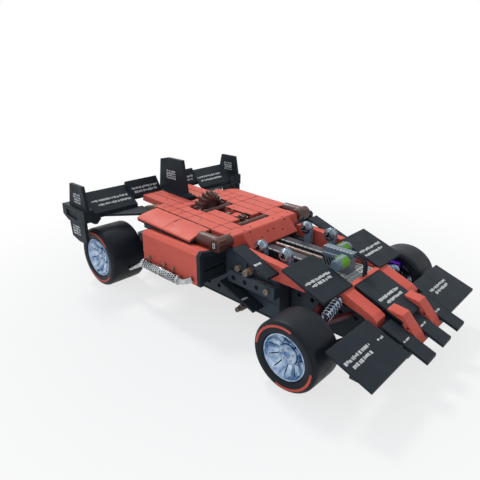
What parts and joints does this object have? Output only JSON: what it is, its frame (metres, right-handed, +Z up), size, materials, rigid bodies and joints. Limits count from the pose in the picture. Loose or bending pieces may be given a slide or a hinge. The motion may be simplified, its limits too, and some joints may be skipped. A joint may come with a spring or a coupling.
{
  "type": "open wheel racing car kit model",
  "caption": "Construction kit model of an open wheel racing car: slick tyres, steered front wheels, hole beam chassis, red deck, open gears, sloping nose plates and a rear wing.",
  "frame": {"origin": "on the ground under the middle of the car's length and width", "axes": "+X is the car's left, the nose points along -Y, +Z is up"},
  "size_m": [0.266, 0.43, 0.143],
  "materials": {
    "red": "glossy moulded plastic, warm red",
    "black": "satin moulded plastic, near black",
    "tyre": "smooth slick rubber with a red band",
    "chrome": "bright chrome plating",
    "tan": "tan plastic pegs",
    "brown": "dark brown plastic",
    "dark_red": "dark red plastic rods",
    "grey": "blue grey plastic",
    "green": "bright green plastic",
    "purple": "purple plastic",
    "bronze": "bronze coloured plastic tube",
    "slate": "dark grey plastic with a bright edge"
  },
  "bodies": {
    "chassis": {"bulkhead": "red", "canards": "black", "clamps": "chrome", "cockpit_floor": "black", "cockpit_slabs": "slate", "cockpit_tube": "bronze", "cross_shafts": "brown", "elbows": "brown", "end_plate_left": "black", "end_plate_right": "black", "engine_deck": "red", "exhaust_left": "chrome", "exhaust_right": "chrome", "fin_centre": "black", "flaps": "red", "floor": "black", "front_arms": "dark_red", "front_frame": "black", "front_wings": "black", "hoses": "black", "motor": "grey", "motor_heads": "green", "nose_bars": "red", "nose_frame": "black", "nose_horns": "red", "nose_plate": "black", "prongs": "black", "radiator_grid": "chrome", "rear_arms": "dark_red", "rear_frame": "black", "side_frame_left": "black", "side_frame_right": "black", "side_panels_left": "black", "side_panels_right": "black", "side_pegs": "tan", "sidepod_frame_left": "black", "sidepod_frame_right": "black", "sidepod_left": "red", "sidepod_right": "red", "sills": "red", "spring_dampers": "chrome", "wing_links": "tan", "wing_lower": "black", "wing_main": "black"},
    "wheel_front_left": {"tyre_front_left": "tyre", "rim_front_left": "chrome"},
    "wheel_front_right": {"tyre_front_right": "tyre", "rim_front_right": "chrome"},
    "wheel_rear_left": {"tyre_rear_left": "tyre", "rim_rear_left": "chrome"},
    "wheel_rear_right": {"tyre_rear_right": "tyre", "rim_rear_right": "chrome"},
    "upright_left": {"knuckle_left": "black", "brake_left": "purple"},
    "upright_right": {"knuckle_right": "black", "brake_right": "purple"},
    "rack": {"steering_rack": "dark_red"},
    "drive_gear_shaft": {"drive_gear": "brown"},
    "pinion_shaft": {"pinion": "brown"}
  },
  "joints": [
    {"name": "steer_left", "type": "hinge", "parent": "chassis", "child": "upright_left", "pos_m": [0.084, -0.125, 0.033], "axis": [0, 0, 1], "range_deg": [-12, 12]},
    {"name": "steer_right", "type": "hinge", "parent": "chassis", "child": "upright_right", "pos_m": [-0.084, -0.125, 0.033], "axis": [0, 0, 1], "range_deg": [-12, 12]},
    {"name": "rack_slide", "type": "slide", "parent": "chassis", "child": "rack", "axis": [1, 0, 0], "range_m": [-0.0033, 0.0033]},
    {"name": "spin_front_left", "type": "hinge", "parent": "upright_left", "child": "wheel_front_left", "pos_m": [0.0995, -0.125, 0.033], "axis": [1, 0, 0], "continuous": true},
    {"name": "spin_front_right", "type": "hinge", "parent": "upright_right", "child": "wheel_front_right", "pos_m": [-0.0995, -0.125, 0.033], "axis": [1, 0, 0], "continuous": true},
    {"name": "spin_rear_left", "type": "hinge", "parent": "chassis", "child": "wheel_rear_left", "pos_m": [0.099, 0.163, 0.037], "axis": [1, 0, 0], "continuous": true},
    {"name": "spin_rear_right", "type": "hinge", "parent": "chassis", "child": "wheel_rear_right", "pos_m": [-0.099, 0.163, 0.037], "axis": [1, 0, 0], "continuous": true},
    {"name": "spin_drive_gear", "type": "hinge", "parent": "chassis", "child": "drive_gear_shaft", "pos_m": [0, 0.088, 0.0865], "axis": [0, 1, 0], "continuous": true},
    {"name": "spin_pinion", "type": "hinge", "parent": "chassis", "child": "pinion_shaft", "pos_m": [0, 0.031, 0.0865], "axis": [0, 1, 0], "continuous": true}
  ],
  "couplings": [
    {"joint": "steer_right", "follows": "steer_left", "ratio": 1},
    {"joint": "rack_slide", "follows": "steer_left", "m_per_rad": -0.015}
  ]
}
